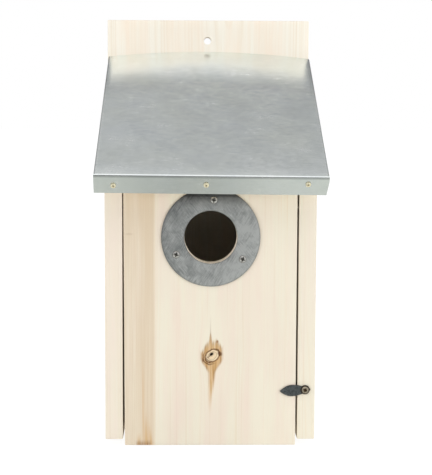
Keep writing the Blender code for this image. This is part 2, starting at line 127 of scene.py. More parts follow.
# Radius and height of the head, radius of the shank, length under the head's seat, whether the
# head is level with the wood, and the size of the recess against the usual one.
Screw = namedtuple("Screw", "head rise shank length flush recess slot")
WOOD_SCREW = Screw(0.0035, 0.0022, 0.00175, 0.029, True, 1.0, "steel_screw")
PIVOT_SCREW = Screw(0.0037, 0.0022, 0.0020, 0.028, True, 1.0, "steel_screw")
PLATE_SCREW = Screw(0.0031, 0.0013, 0.0013, 0.012, False, 1.12, "plate_screw")
LIP_SCREW = Screw(0.00225, 0.0012, 0.0011, 0.013, False, 0.7, "yellow_screw")
BUTTON_SCREW = Screw(0.0029, 0.0014, 0.0014, 0.014, False, 1.0, "button_screw")
KINDS = {"back_screw": WOOD_SCREW, "floor_screw": WOOD_SCREW, "roof_screw": WOOD_SCREW,
         "pivot_screw": PIVOT_SCREW, "entrance_plate_screw": PLATE_SCREW, "lip_screw": LIP_SCREW,
         "turn_button_screw": BUTTON_SCREW}
# Share of the head's radius, and height, over the top of a level head.
FLUSH_TOP = ((0.97, -0.00030), (1.0, -0.00018), (1.0, -0.00008), (0.97, 0.0), (0.6, 0.00004),
             (0.0, 0.00006))
# Height over the crown, reach and half width of the recess's arms, as shares of the head's radius.
RECESS = ((0.3, 0.74, 0.21), (-0.182, 0.60, 0.165), (-0.52, 0.24, 0.11))
THREAD_PITCH = 0.95  # as a share of the shank's radius
THREAD_CORE = 0.74  # share of the shank's radius between the threads
THREAD_ROWS = 72

# Studio: the camera, then each part of the surroundings.
CAMERA_PLACE = (-0.0196, -1.2428, 0.1297)
CAMERA_YAW = radians(-1.296)
CAMERA_PITCH = radians(5.639)
CAMERA_ROLL = radians(0.239)
CAMERA_LENS = 95.42
SOFTBOX_ELEVATION = radians(66)
SOFTBOX_CORE = radians(24)  # half angle of its even part
SOFTBOX_EDGE = radians(34)  # where it has faded out
SOFTBOX_MIRRORED = 1.14  # its brightness in reflections
SOFTBOX_LIGHT = 1.42  # and as light on the surfaces
BEHIND_ELEVATION = radians(46)
BEHIND_LIGHT = 0.375
LOW_LIGHT = 0.34
SIDE_LIGHT = 0.8
FILL_POWER = 20.6
FILL_RIGHT = 0.92  # the right lamp's share of it
FILL_ANGLE = radians(56)
FILL_SIZE = (1.2, 1.0)
FILL_AWAY = 2.2
FILL_DROP = 0.05
FLOOR_SIZE = 40.0
FLOOR_BOUNCE = (0.695, 0.715, 0.676)
FLOOR_PAINTED_SHADOW = (-15.0, 70.0, 0.315)  # middle, width and depth of a painted shadow strip on the floor, in millimetres
FLOOR_SEEN = 0.20  # grey of the floor under its own glow
FLOOR_GLOW = (0.9, 0.40)  # glow to the camera and to the surfaces


# ---- reading the frame
def largest_face(node, direction):
    """Centre and normal of the node's largest face that looks in a direction."""
    towards = [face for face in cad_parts[node].data.polygons if face.normal.dot(direction) > 0.8]
    face = max(towards, key=lambda item: item.area)
    return face.center.copy(), face.normal.copy()


def roof_matrix():
    """Roof coordinates: origin at the middle of the front bend, Y up the slope, Z outwards."""
    about = radians(28)
    top_point, top = largest_face("roof_sheet", Vector((0, -sin(about), cos(about))))
    lip_point, lip = largest_face("roof_sheet", Vector((0, -cos(about), -sin(about))))
    up_slope = (-lip - top * -lip.dot(top)).normalized()
    right = up_slope.cross(top)
    planes = Matrix((top, lip, (1, 0, 0)))
    origin = planes.inverted() @ Vector((top.dot(top_point), lip.dot(lip_point), 0.0))
    return Matrix.Translation(origin) @ Matrix((right, up_slope, top)).transposed().to_4x4()


ROOF = roof_matrix()
SLOPE_TAN = -ROOF[1][2] / ROOF[2][2]


def roof_points(node):
    """The CAD node's points in roof coordinates."""
    return [ROOF.inverted() @ vert.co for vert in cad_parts[node].data.vertices]


# ---- mesh helpers
def along_axis(axis, size):
    vector = Vector((0, 0, 0))
    vector[axis] = size
    return vector


def outwards(bm):
    """Turn the faces' normals outwards."""
    bmesh.ops.recalc_face_normals(bm, faces=bm.faces)
    return bm


def prism(outline, axis, start, end):
    """A flat outline, extruded from start to end along axis 0, 1 or 2."""
    bm = bmesh.new()
    corners = [[u, v] for u, v in outline]
    for corner in corners:
        corner.insert(axis, start)
    face = bm.faces.new([bm.verts.new(corner) for corner in corners])
    grown = bmesh.ops.extrude_face_region(bm, geom=[face])["geom"]
    moved = [item for item in grown if isinstance(item, bmesh.types.BMVert)]
    bmesh.ops.translate(bm, vec=along_axis(axis, end - start), verts=moved)
    return outwards(bm)


def quarter(steps):
    """Angles over a quarter turn."""
    return [pi / 2 * step / steps for step in range(steps + 1)]


def turned(profile, sides):
    """Spin a profile of (radius, height) points round Z."""
    bm = bmesh.new()
    verts = [bm.verts.new((radius, 0.0, height)) for radius, height in profile]
    edges = [bm.edges.new(pair) for pair in zip(verts, verts[1:])]
    bmesh.ops.spin(bm, geom=verts + edges, cent=(0, 0, 0), axis=(0, 0, 1), angle=2 * pi, steps=sides)
    bmesh.ops.remove_doubles(bm, verts=bm.verts, dist=0.000005)
    return outwards(bm)


def slice_along(bm, axis, positions):
    """Cut new rows of points into a mesh, at positions along one axis."""
    for place in positions:
        bmesh.ops.bisect_plane(bm, geom=bm.verts[:] + bm.edges[:] + bm.faces[:], dist=0.000001,
                               plane_co=along_axis(axis, place), plane_no=along_axis(axis, 1.0))


def spread(low, high, cell):
    """Places between low and high, a little more than a cell apart."""
    steps = max(1, floor((high - low) / cell))
    return [low + (high - low) * step / steps for step in range(1, steps)]


def smoothed(mesh):
    mesh.shade_smooth()
    mesh.set_sharp_from_angle(angle=radians(35))
    return mesh


def to_mesh(bm, name):
    """Turn a bmesh into a mesh, and free it."""
    mesh = bpy.data.meshes.new(name)
    bm.to_mesh(mesh)
    bm.free()
    return mesh


def merge_into(target, source, matrix):
    """Add one mesh to another, moved by a matrix."""
    copy = to_mesh(source, "copy")
    copy.transform(matrix)
    target.from_mesh(copy)
    bpy.data.meshes.remove(copy)


def loft(bm, loops):
    """Join closed loops of points into a solid; returns its two caps."""
    for lower, upper in zip(loops, loops[1:]):
        for number in range(len(lower)):
            after = (number + 1) % len(lower)
            bm.faces.new((lower[number], lower[after], upper[after], upper[number]))
    return [bm.faces.new(loops[0]), bm.faces.new(loops[-1])]


def drill(radius, reach):
    """Cutter for a plain hole along Z."""
    return turned([(0.0, -reach), (radius, -reach), (radius, reach), (0.0, reach)], 32)


def facing(point, direction):
    """Matrix that puts the origin at a point and turns Z in a direction."""
    turn = Vector(direction).to_track_quat("Z", "Y").to_matrix().to_4x4()
    return Matrix.Translation(point) @ turn


def boolean(obj, other_bm, operation="DIFFERENCE"):
    """Apply a cut or a union with a helper mesh in the object's coordinates."""
    helper = make_object("helper", to_mesh(other_bm, "helper"), obj.matrix_world)
    modifier = obj.modifiers.new("cut", "BOOLEAN")
    modifier.operation = operation
    modifier.solver = "EXACT"
    modifier.object = helper
    apply_modifiers(obj)
    bpy.data.objects.remove(helper)


def apply_modifiers(obj):
    bpy.context.view_layer.update()
    result = bpy.data.meshes.new_from_object(obj.evaluated_get(bpy.context.evaluated_depsgraph_get()))
    obj.modifiers.clear()
    obj.data = smoothed(result)


def make_object(name, data, matrix=Matrix()):
    obj = bpy.data.objects.new(name, data)
    bpy.context.scene.collection.objects.link(obj)
    obj.matrix_world = matrix
    bpy.context.view_layer.update()
    return obj


def fit_out(obj, node, body, material):
    """Give a fine piece its material and its place in the frame."""
    obj.data.materials.clear()
    obj.data.materials.append(material)
    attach(obj, body)
    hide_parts(node)


# ---- node graphs
def feed(value, socket):
    if isinstance(value, Wire):
        value.into(socket)
    else:
        socket.default_value = value


def add_node(tree, kind, *values):
    """A new node, its first inputs fed with values or wires."""
    node = tree.nodes.new("ShaderNode" + kind)
    for slot, value in zip(node.inputs, values):
        feed(value, slot)
    return node


def arithmetic(operation):
    """A method of Wire that adds a math node."""
    return lambda self, *others: self.math(operation, *others)


class Wire:
    """A value or a colour in a node tree, with arithmetic that adds nodes."""

    def __init__(self, tree, socket):
        self.tree = tree
        self.socket = socket

    def into(self, socket):
        self.tree.links.new(self.socket, socket)

    def math(self, operation, *others):
        node = add_node(self.tree, "Math", self, *others)
        node.operation = operation
        return Wire(self.tree, node.outputs[0])

    __add__ = __radd__ = arithmetic("ADD")
    __sub__ = arithmetic("SUBTRACT")
    __mul__ = __rmul__ = arithmetic("MULTIPLY")
    __truediv__ = arithmetic("DIVIDE")
    __abs__ = arithmetic("ABSOLUTE")

    def __rsub__(self, other):
        return (self * -1.0) + other

    def smooth(self, low, high, start=0.0, end=1.0):
        """Smooth step from start, where the value is low, to end, where it is high."""
        node = add_node(self.tree, "MapRange", self, low, high, start, end)
        node.interpolation_type = "SMOOTHSTEP"
        return Wire(self.tree, node.outputs[0])

    def fall(self, low, high):
        """1 where the value is low, 0 where it is high."""
        return self.smooth(low, high, 1.0, 0.0)

    def bell(self, centre, width):
        """1 at the centre, falling to about a third at the width from it."""
        away = (self - centre) / width
        return (away * away * -1.0).math("EXPONENT")

    def between(self, first, second):
        """The colour this share of the way from one to another; the share stops at 0 and 1."""
        node = add_node(self.tree, "Mix")
        node.data_type = "RGBA"
        self.into(node.inputs["Factor"])
        for value, slot in ((first, node.inputs[6]), (second, node.inputs[7])):
            feed(value if isinstance(value, Wire) else (*value, 1.0), slot)
        return Wire(self.tree, node.outputs[2])

    def stained(self, tint, amount):
        return amount.between(self, tint)

    def brightened(self, factor):
        node = add_node(self.tree, "VectorMath", self)
        node.operation = "SCALE"
        feed(factor, node.inputs["Scale"])
        return Wire(self.tree, node.outputs[0])


def length_of(u, v):
    return (u * u + v * v).math("SQRT")


def rotated(u, v, angle):
    """A pair of wires or numbers, seen from axes turned by an angle."""
    return u * cos(angle) + v * sin(angle), v * cos(angle) - u * sin(angle)


def preset(node, **values):
    """Set a node's inputs, named with underscores for spaces."""
    for name, value in values.items():
        node.inputs[name.replace("_", " ")].default_value = value


def coordinates(tree, kind):
    """Texture coordinates of a kind, as three wires."""
    split = add_node(tree, "SeparateXYZ", Wire(tree, add_node(tree, "TexCoord").outputs[kind]))
    return [Wire(tree, split.outputs[number]) for number in range(3)]


def position(tree):
    """Object coordinates in millimetres, as three wires."""
    return [wire * MM for wire in coordinates(tree, "Object")]


def clouds(parts, detail=2.0, roughness=0.5):
    """Smooth noise from about -1 to 1 at a place given by three wires or numbers."""
    tree = next(part.tree for part in parts if isinstance(part, Wire))
    place = add_node(tree, "CombineXYZ", *parts)
    texture = add_node(tree, "TexNoise", Wire(tree, place.outputs[0]))
    preset(texture, Scale=1.0, Detail=detail, Roughness=roughness)
    return (Wire(tree, texture.outputs[0]) - 0.5) * 2.0


def even_clouds(place, scale, detail, roughness):
    """Noise that is equally fine in every direction."""
    return clouds([wire * scale for wire in place], detail, roughness)


def ray(tree, kind):
    """1 for rays of a kind: camera, diffuse or glossy."""
    return Wire(tree, add_node(tree, "LightPath").outputs[f"Is {kind} Ray"])


def new_material(name, metallic=0.0):
    material = bpy.data.materials.new(name)
    material.use_nodes = True
    tree = material.node_tree
    shader = tree.nodes["Principled BSDF"]
    preset(shader, Metallic=metallic)
    return material, tree, shader


def surface(shader, colour, roughness, height, distance, strength):
    """Connect a material's colour and roughness, and its relief as a bump."""
    colour.into(shader.inputs["Base Color"])
    roughness.into(shader.inputs["Roughness"])
    node = add_node(height.tree, "Bump")
    preset(node, Strength=strength, Distance=distance)
    height.into(node.inputs["Height"])
    height.tree.links.new(node.outputs[0], shader.inputs["Normal"])


# ---- wood
EARLY = (0.815, 0.755, 0.632)  # pine between its rings
BACK_EARLY = (0.935, 0.880, 0.780)  # the back board is paler
LATE = (0.800, 0.665, 0.490)  # pine in its rings
BLUSH = (0.812, 0.690, 0.592)  # pinker pine, in clouds
SIDE_BLUSH = (0.830, 0.725, 0.630)
BACK_BLUSH = (0.930, 0.810, 0.680)
STRIP_TINT = (0.700, 0.575, 0.430)
STAIN = (0.610, 0.365, 0.140)
STAIN_DARK = (0.250, 0.110, 0.035)
KNOT_PALE = (0.820, 0.680, 0.480)
KNOT_RING = (0.120, 0.048, 0.018)
CORE_BLACK = (0.010, 0.006, 0.004)
# The resin's tongues in millimetres: place across at the foot, lean, width, height.
TONGUES = ((-61.0, 0.05, 1.8, 13.0), (-54.6, -0.06, 2.4, 36.0), (-51.2, -0.10, 1.6, 24.0))
GRAIN_BULGE = 7.5  # how far the knot pushes the grain aside, in millimetres
GRAIN_REACH = 17.0  # and how far along the board


def rings(along, across, through, pith, spacing, seed, tilt):
    """How much latewood shows, from growth rings round a pith beside the board."""
    drift = clouds((along * 0.005, seed, 0.0), 1.0) * 5.0
    sway = clouds((along * 0.009, across * 0.02, seed + 7.0)) * 1.2
    flat = across - pith[0] + drift
    deep = through - pith[1] + along * tilt + sway
    radius = length_of(flat, deep)
    uneven = clouds((radius * 0.13, seed + 3.0, 0.0)) * 1.8
    share = (radius / spacing + uneven).math("FRACT")
    late = share.smooth(0.40, 0.92) * share.fall(0.93, 1.0)
    band = clouds((radius * 0.055, seed + 11.0, 0.0))
    return late, band


def around_knot(across, along):
    """Across coordinate that the grain would have if the knot weren't there."""
    du = across - KNOT.x * MM
    bulge = along.bell(KNOT.z * MM, GRAIN_REACH) * GRAIN_BULGE
    away = abs(du)
    return du.math("SIGN") * (away - bulge * (away / -9.0).math("EXPONENT")) + KNOT.x * MM


def wood(name, axes, pith, spacing, seed, ring_share=0.34, early=EARLY, blush=SIDE_BLUSH, tilt=0.03,
         lines=0.62, knot=False, behind=False):
    """Planed pine; axes says which of 0, 1 and 2 run along, across and through the board.

    The pith's place across and through the board and the rings' spacing are in millimetres. A
    board behind the entrance gets painted shade on its inner face, inside the box.
    """
    material, tree, shader = new_material(name)
    place = [wire - offset * MM for wire, offset in zip(position(tree), ORIGIN)]
    along, across, through = (place[number] for number in axes)
    grain_across = around_knot(across, along) if knot else across
    late, band = rings(along, grain_across, through, pith, spacing, seed, tilt)

    def streaks(fineness, stretch, place, detail, roughness):
        parts = (grain_across * fineness, through * fineness, along * stretch + place)
        return clouds(parts, detail, roughness)

    fibre = streaks(1.1, 0.012, 0.0, 3.0, 0.65)
    fine = streaks(5.0, 0.10, 0.0, 2.0, 0.6)
    line = streaks(0.60, 0.003, seed, 3.0, 0.7).smooth(0.12, 0.38) * (band * 1.2 + 0.9)
    cloud = clouds((across * 0.03, through * 0.03, along * 0.012 + seed))
    end = abs(coordinates(tree, "Normal")[axes[0]]).smooth(0.6, 0.95)
    if knot:
        from_entrance = length_of(across - ENTRANCE.x * MM, along - (ENTRANCE.z - ORIGIN.z) * MM)
        # Painted light: in the entrance's bore the end grain's darkening is dropped, so the bore's wall
        # shows lighter.
        end = end * from_entrance.smooth(24.0, 26.0)
    amount = late * (band + 0.8) * ring_share + band * 0.22
    amount = amount + fibre * 0.26 + line * lines + end * late * 0.35
    pink = streaks(0.055, 0.006, seed + 20.0, 3.0, 0.6) * 1.8 + 0.30
    colour = amount.between(early, LATE).stained(blush, pink)
    if knot:
        colour = panel_marks(colour, across, along)
    bright = fine * 0.022 + cloud * 0.03 + end * -0.14 + line * (lines * -0.07) + 1.0
    if behind:
        # Painted shade: the board's inner face darkens inside the box, behind the entrance.
        inner = abs(across).fall(72.0, 76.0) * along.fall(285.0, 300.0)
        bright = bright - inner * through.smooth(166.0, 170.0, 0.22, 0.0)
    if knot:
        # Painted light: the wood inside the entrance's bore is made lighter.
        bright = bright + from_entrance.smooth(23.2, 24.0, 0.22, 0.0)
    preset(shader, Specular_IOR_Level=0.22)
    surface(shader, colour.brightened(bright), fibre * 0.12 + late * -0.10 + 0.66,
            fibre * 0.6 + fine * 0.4 + late * 0.5, 0.00012, 0.55)
    return material


def panel_marks(colour, across, along):
    """What only the front panel has: lamellae, the knot with its stain, and resin at the foot."""
    ragged = clouds((across * 0.9, along * 0.012, 4.0)) * 0.5
    streak = clouds((across * 0.62, along * 0.008, 9.0), 3.0, 0.65) * 0.5
    edge = STRIP_EDGE * MM
    deeper = across.bell(edge - 6.0, 6.0) * 0.34 + along.smooth(130.0, 215.0) * 0.16 + streak * 1.6
    strip = across.fall(edge - 1.6, edge + 1.8) * (deeper + 0.57)
    tick = length_of((across + 69.4) * 0.30, along - 177.5 + ragged * 1.5).smooth(0.3, 1.5, 0.17, 0.0)
    seam = across.bell(edge, 0.35) * 0.30 + across.bell(RIGHT_LAMELLA * MM, 0.3) * 0.16
    colour = colour.stained(STRIP_TINT, strip).stained(STAIN_DARK, tick).stained(LATE, seam)
    return knot_marks(foot_resin(colour, across, along, ragged), across, along, ragged)


def foot_resin(colour, across, along, ragged):
    """Orange tongues of resin that rise from the panel's lower edge, and a long thin one."""
    resin = (across + 57.6 - ragged * 3.0).bell(0.0, 0.7) * along.smooth(30.0, 92.0, 0.5, 0.0)
    for foot, lean, width, height in TONGUES:
        side = across - foot - along * lean
        rise = (along + 5.0) / height + ragged * 0.7
        resin = resin.math("MAXIMUM", side.bell(0.0, width) * rise.smooth(0.0, 1.0, 0.66, 0.0))
    base = along.fall(-5.0, 0.5) * across.smooth(-64.5, -61.5)
    base = base * across.fall(-53.0, -49.5) * (ragged * 1.6 + 0.55)
    return colour.stained(STAIN, resin).stained(STAIN_DARK, base)


def knot_marks(colour, across, along, ragged):
    """The knot, the golden stain that runs above and below it, and its core."""
    u = across - KNOT.x * MM
    v = along - KNOT.z * MM
    streak = clouds((across * 0.85, along * 0.022, 15.0), 4.0, 0.7)
    # below: a bulge, then a long thin tail; above: two peaks with ragged tips between them
    half = v.smooth(-16.0, -2.0, 0.0, 6.2) + v.smooth(-60.0, -8.0, 0.0, 3.2)
    below = half - abs(u - v.smooth(-45.0, -14.0, -1.9, -0.4)) + streak * 0.8
    top = u.smooth(-10.4, -3.6, 2.0, 11.5) + u.bell(-1.5, 1.0) * 9.0 + u.bell(1.4, 0.9) * 1.5
    top = top + u.bell(3.8, 1.2) * 2.5 + u.smooth(5.5, 9.3, 0.0, -4.5) + streak * 4.0 + ragged * 3.0
    inside = below.math("MINIMUM", (top - v) * 0.5)
    faded = v.smooth(-64.0, -25.0, 0.28, 0.95) * v.smooth(2.0, 20.0, 1.0, 0.75)
    stain = inside.smooth(-1.3, 2.4) * faded * (streak * 0.95 + 0.88)
    colour = colour.stained(STAIN, stain.math("MINIMUM", 0.95))
    dark = inside.smooth(0.0, 2.6) * streak.smooth(-0.02, 0.42) * faded * 0.62
    rim = inside.bell(1.0, 0.9) * v.smooth(-34.0, -6.0) * (streak * 0.9 + 0.26)
    above = u.bell(-1.5, 0.5) * v.smooth(12.0, 38.0, 0.40, 0.0) * v.smooth(8.0, 14.0)
    spot = length_of(u - 4.4, (v - 12.4) * 0.8).smooth(0.4, 1.3, 0.75, 0.0)
    return knot_rings(colour.stained(STAIN_DARK, dark + rim).stained(STAIN_DARK, above + spot), u, v)


def knot_rings(colour, u, v):
    """The pale heart with its broken dark rim, a crack and the black core."""
    long, short = rotated(u, v, KNOT_TILT)
    wobble = clouds((u * 0.26, v * 0.26, 2.0), 3.0) * 0.22
    ring = length_of(long / (KNOT_RADII[0] * MM), short / (KNOT_RADII[1] * MM)) + wobble
    lines = (ring * 4.6).math("FRACT").smooth(0.3, 0.9) * 0.42 + wobble * 1.4
    colour = colour.stained(lines.between(KNOT_PALE, STAIN), ring.fall(0.80, 0.95))
    broken = clouds((u * 0.20, v * 0.20, 8.0)) * 0.7 + 0.95
    heavy = long.fall(-7.5, 0.0)
    rim = ring.bell(0.95, 0.095) * broken + ring.bell(0.77, 0.06) * heavy * 0.9
    rim = rim + ring.bell(1.22, 0.09) * heavy * 0.9 + ring.bell(0.58, 0.06) * 0.30
    wedge = length_of(long - 6.3, (short + 2.6) * 0.8).smooth(0.8, 2.5, 0.85, 0.0)
    long, short = rotated(u - KNOT_CORE[0] * MM, v - KNOT_CORE[1] * MM, KNOT_TILT)
    crack = (short + wobble * 2.0).bell(-0.3, 0.42) * long.smooth(-6.0, -3.5) * long.fall(-1.0, 0.5) * 0.8
    core = length_of(long / (CORE_RADII[0] * MM), short / (CORE_RADII[1] * MM))
    for amount in (rim + wedge, crack, core.smooth(0.9, 2.1, 0.60, 0.0)):
        colour = colour.stained(KNOT_RING, amount)
    return colour.stained(CORE_BLACK, core.fall(0.75, 1.25))


# ---- metals
# Each pair: the metal's darkest and palest clouding.
ZINC_COOL = ((0.700, 0.755, 0.765), (0.960, 0.990, 1.000))
ZINC_WARM = ((0.725, 0.772, 0.738), (0.965, 0.995, 0.965))
PLATE = ((0.260, 0.272, 0.282), (0.700, 0.710, 0.715))
PEWTER = ((0.030, 0.036, 0.040), (0.115, 0.130, 0.132))
PEWTER_BROWN = (0.030, 0.018, 0.010)


def roof_position(tree):
    """Roof coordinates in millimetres, for a piece without rotation."""
    x, y, z = (wire / MM for wire in position(tree))
    return [(x * row[0] + y * row[1] + z * row[2] + row[3]) * MM for row in ROOF.inverted()[:3]]


def zinc_sheet(half):
    """Galvanised sheet: clouded, with faint streaks across the slope and painted shade at its folds."""
    material, tree, shader = new_material("galvanised_sheet", metallic=1.0)
    x, y, z = roof_position(tree)
    cloud = even_clouds((x, y, z), 0.030, 4.0, 0.62)
    mottle = even_clouds((x, y, z), 0.17, 4.0, 0.70)
    streak = clouds((x * 0.08, y * 1.1, z * 1.1), 3.0, 0.6)
    tint = clouds((x * 0.022, y * 0.022, z * 0.022 + 7.0), 3.0, 0.6)
    patch = x.bell(46.0, 26.0) * y.bell(16.0, 24.0) * (mottle * 1.5 + 1.0)
    tone = cloud * 0.32 + mottle * 0.22 + streak * 0.30 + patch * 0.16 + 0.44
    colour = (tint * 1.1 + 0.4).between(tone.between(*ZINC_COOL), tone.between(*ZINC_WARM))
    on_roof = y.smooth(2.0, 4.0)
    away = abs(x) - half * MM
    # Painted shade along the side bends, at the roof's side edges.
    painted_side_fold_shade = away.smooth(-1.6, -0.7) * on_roof * z.smooth(-2.2, -1.2) * 0.60
    # Painted shade in a band just below the front bend.
    painted_bend_shade = z.fall(-0.95, -0.55) * z.smooth(-3.2, -1.9) * (1.0 - on_roof) * 0.34
    # Painted shade in a band that follows the curl towards the back.
    painted_curl_shade = (y + x * x * 0.0014).bell(168.0, 14.0) * 0.10
    # corner is painted shade at the rear corners, along the side edges.
    corner = away.smooth(-6.0, -1.5) * y.smooth(140.0, 190.0) * 0.26
    # rear is a painted reflection of the back board: lighter near the joint, more on the left.
    rear = y.smooth(172.0, 190.0) * (x * -0.0004 + 0.055)
    surface(shader, colour.brightened(1.0 - painted_side_fold_shade - painted_bend_shade - painted_curl_shade - corner + rear),
            cloud * 0.06 + mottle * 0.05 + streak * 0.05 + 0.24,
            mottle * 0.5 + streak * 0.5, 0.00004, 0.18)
    return material


def brushed_plate():
    """Steel plate, brushed by hand in patches, with painted shade close under the roof's lip."""
    material, tree, shader = new_material("brushed_plate", metallic=1.0)
    x, _, z = position(tree)
    x = x - ENTRANCE.x * MM
    z = z - ENTRANCE.z * MM
    scratches = []
    for turn, seed in ((32, 1.0), (-38, 4.0)):
        side, run = rotated(x, z, radians(-turn))
        scratches.append(clouds((side * 1.5, run * 0.085, seed), 4.0, 0.72))
    patch = clouds((x * 0.045, 2.0, z * 0.045)).smooth(-0.12, 0.12)
    scratch = scratches[0] + (scratches[1] - scratches[0]) * patch
    cloud = clouds((x * 0.075, 0.0, z * 0.075), 4.0, 0.65)
    blotch = clouds((x * 0.30, 9.0, z * 0.30), 3.0, 0.7)
    # x * 0.007 and z * -0.003 are painted light: the plate gets lighter towards its right and its bottom.
    tone = scratch * 1.15 + cloud * 0.95 + blotch * 0.30 + x * 0.007 + z * -0.003 + 0.68
    radius = length_of(x, z)
    rim = radius.smooth(40.6, 42.0, 1.0, 0.72) * radius.smooth(22.6, 23.6, 0.75, 1.0)
    # Painted shade under the roof's lip: the plate darkens towards its top, most in a band just under the
    # lip.
    height = z + x * 0.008
    under = height.smooth(23.0, 37.0, 1.0, 0.34) * height.smooth(33.4, 35.4, 1.0, 0.55)
    preset(shader, Anisotropic=0.35)
    surface(shader, tone.between(*PLATE).brightened(rim * under),
            scratch * 0.10 + cloud * 0.10 + 0.46, scratch * 0.8 + blotch * 0.2, 0.00006, 0.55)
    return material


def dark_pewter():
    """Blackened leaf, mottled, worn to brown along its rim and round its eye."""
    material, tree, shader = new_material("dark_pewter", metallic=0.4)
    x, y, z = position(tree)
    grime = even_clouds((x, y, z), 0.55, 4.0, 0.75)
    brown = y.smooth(-0.92, -0.70) + grime * 0.3 + length_of(x, z).smooth(3.6, 4.6, 0.8, 0.0)
    colour = (grime * 1.6 + 0.5).between(*PEWTER).stained(PEWTER_BROWN, brown)
    surface(shader, colour, grime * 0.3 + 0.46, grime, 0.00010, 0.7)
    return material


def screw_metal(name, light, dark, roughness, recess=1.0, metallic=1.0, rim=None):
    """Plated screw, with painted shade in its recess and a painted contact shadow at its rim; both radii
    in millimetres.
    """
    material, tree, shader = new_material(name, metallic=metallic)
    x, y, z = position(tree)
    radius = length_of(x, y)
    stain = even_clouds((x, y, z), 0.9, 4.0, 0.7)
    turnings = clouds((radius * 6.0, z * 6.0, 0.0))
    # The rise of tone towards the middle is painted shade in the recess.
    tone = stain * 0.7 + turnings * 0.3 + 0.15 + radius.smooth(recess * 0.6, recess * 1.15, 1.1, 0.0)
    # rim paints a contact shadow round the head's edge.
    if rim:
        tone = tone + radius.smooth(rim * 0.82, rim, 0.0, 0.8)
    surface(shader, tone.between(light, dark), stain * 0.3 + turnings * 0.1 + roughness,
            turnings + stain, 0.00002, 0.4)
    return material


# ---- boards
def worn(bm, seed, wear):
    """Push the surface in a little and unevenly, most along the edges."""
    shift = Vector((seed * 13.7, seed * 5.1, seed * 9.3))
    bm.normal_update()
    moves = []
    for vert in bm.verts:
        slow = noise.noise(vert.co * 14.0 + shift)
        quick = noise.noise(vert.co * 90.0 + shift)
        depth = wear * (0.5 + 0.5 * slow)
        on_edge = max(abs(component) for component in vert.normal) < 0.985
        if on_edge:
            depth += EDGE_WEAR * max(0.0, quick) * (0.6 + 0.4 * slow)
        moves.append(vert.normal * -depth)
    for vert, move in zip(bm.verts, moves):
        vert.co += move


def board(node, outline, axis, low, high, seed, cell=BOARD_CELL, extra=((), (), ()), wear=WEAR):
    """A board with rounded, slightly worn edges and enough points to be uneven."""
    bm = prism(outline, axis, low, high)
    bmesh.ops.bevel(bm, geom=bm.edges[:], offset=BOARD_ROUND, segments=3, profile=0.5, affect="EDGES")
    for number in range(3):
        values = [vert.co[number] for vert in bm.verts]
        slice_along(bm, number, [*spread(min(values), max(values), cell), *extra[number]])
    worn(bm, seed, wear)
    return make_object(node + "_wood", smoothed(to_mesh(bm, node)))


def bore(point, radius, low, high):
    """Cutter along Y for a round hole with eased edges; low and high are the board's faces."""
    wide = radius + BORE_EASE + BORE_PAST
    profile = [(0.0, low - BORE_PAST), (wide, low - BORE_PAST), (radius, low + BORE_EASE),
               (radius, high - BORE_EASE), (wide, high + BORE_PAST), (0.0, high + BORE_PAST)]
    bm = turned(profile, 96)
    bm.transform(facing(point, (0, 1, 0)))
    return bm


def seats(screws):
    """Cutters for the countersunk heads that end level with a board's face."""
    cutters = bmesh.new()
    for node in screws:
        kind = KINDS[screw_kind(node)]
        wide = kind.head + GAP
        narrow = kind.shank + GAP / 2
        profile = [(0.0, -kind.length - GAP), (narrow, -kind.length + kind.shank),
                   (narrow, -kind.rise - GAP), (wide, -GAP), (wide, 4 * GAP), (0.0, 4 * GAP)]
        merge_into(cutters, turned(profile, 32), screw_place(node))
    return cutters


def make_back_board(screws, material):
    """The tall board, with its hanging hole."""
    low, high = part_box("back_board")
    outline = [(low.x, low.z), (high.x, low.z), (high.x, high.z), (low.x, high.z)]
    piece = board("back_board", outline, 1, low.y, high.y, 1, wear=WEAR / 4)
    boolean(piece, bore((HANGING.x, 0.0, HANGING.z), HANGING_RADIUS, low.y, high.y))
    boolean(piece, seats(screws))
    fit_out(piece, "back_board", "box", material)


def make_side_board(node, screws, material, seed):
    low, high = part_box(node)
    point, normal = largest_face(node, ROOF.col[2].xyz)
    x = low.x if normal.x < 0 else high.x

    def top(y):
        return point.z - (normal.x * (x - point.x) + normal.y * (y - point.y)) / normal.z

    outline = [(low.y, low.z), (high.y, low.z), (high.y, top(high.y)), (low.y, top(low.y))]
    piece = board(node, outline, 0, low.x, high.x, seed)
    boolean(piece, seats(screws))
    fit_out(piece, node, "box", material)


def make_floor_board(material):
    low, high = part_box("floor_board")
    cut = FLOOR_CORNER
    outline = [(low.x + cut, low.y), (high.x - cut, low.y), (high.x, low.y + cut),
               (high.x, high.y - cut), (high.x - cut, high.y), (low.x + cut, high.y),
               (low.x, high.y - cut), (low.x, low.y + cut)]
    piece = board("floor_board", outline, 2, low.z, high.z, 5)
    fit_out(piece, "floor_board", "box", material)


def make_roof_board(screws, material):
    """The board under the sheet, in roof coordinates, bevelled at its rear end."""
    points = roof_points("roof_board")
    half, rear_high, top = (max(point[number] for point in points) for number in range(3))
    start = min(point.y for point in points)
    under = min(point.z for point in points)
    rear_low = max(point.y for point in points if point.z < under + BOARD_ROUND * 2)
    outline = [(start, under), (rear_low, under), (rear_high, top), (start, top)]
    piece = board("roof_board", outline, 0, -half, half, 6)
    piece.data.transform(ROOF)
    boolean(piece, seats(screws))
    fit_out(piece, "roof_board", "box", material)


def knot_depth(point):
    """How far the knot's rim and core lie below the panel's face."""
    u, v = point.x - KNOT.x, point.z - ORIGIN.z - KNOT.z
    long, short = rotated(u, v, KNOT_TILT)
    ring = sqrt((long / KNOT_RADII[0]) ** 2 + (short / KNOT_RADII[1]) ** 2)
    long, short = rotated(u - KNOT_CORE[0], v - KNOT_CORE[1], KNOT_TILT)
    core = (long / CORE_RADII[0]) ** 2 + (short / CORE_RADII[1]) ** 2
    return RIM_DEPTH * exp(-((ring - 0.95) / 0.12) ** 2) + CORE_DEPTH * exp(-core)


